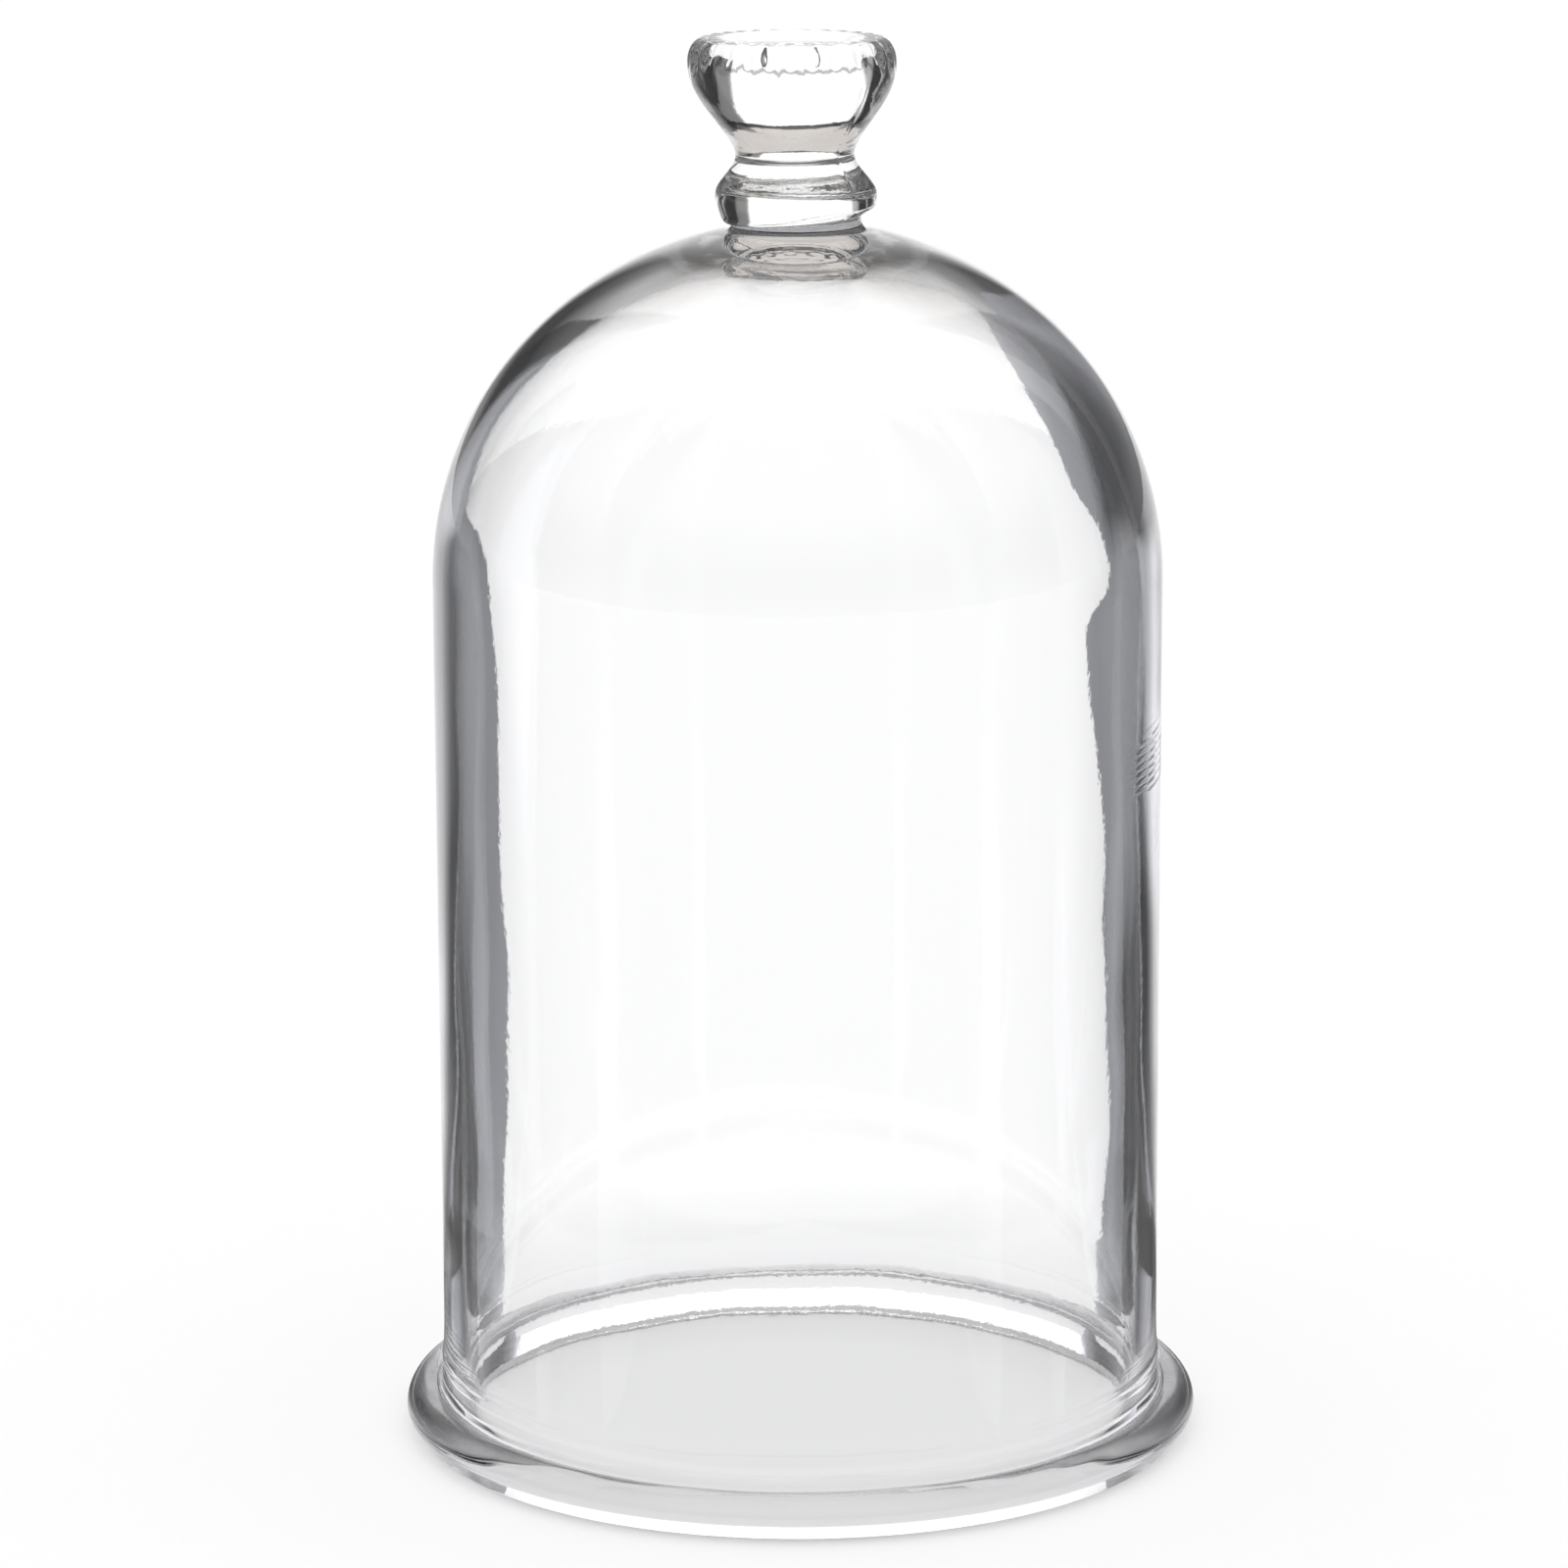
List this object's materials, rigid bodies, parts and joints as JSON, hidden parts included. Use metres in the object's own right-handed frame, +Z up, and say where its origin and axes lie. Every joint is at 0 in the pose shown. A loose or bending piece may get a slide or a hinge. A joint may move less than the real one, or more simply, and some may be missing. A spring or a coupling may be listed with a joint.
{
  "type": "bell jar",
  "caption": "Clear glass bell jar: open cylindrical body with a domed top, solid pull knob and a thick ground flange round the open foot, for covering or evacuating what stands under it.",
  "frame": {"origin": "centre of the ground underside of the foot flange", "axes": "+Z up along the jar's axis, from the open foot to the knob"},
  "size_m": [0.1806, 0.1806, 0.316],
  "materials": {
    "shell_glass": "clear blown glass, slightly wavy",
    "flange_glass": "clear fire-polished glass with a ground underside",
    "collar_glass": "clear glass with folds where the knob was joined",
    "knob_glass": "clear pressed glass with a mould seam"
  },
  "bodies": {
    "root": {"bell_shell": "shell_glass", "foot_flange": "flange_glass", "neck_collar": "collar_glass", "knob": "knob_glass"}
  },
  "joints": []
}
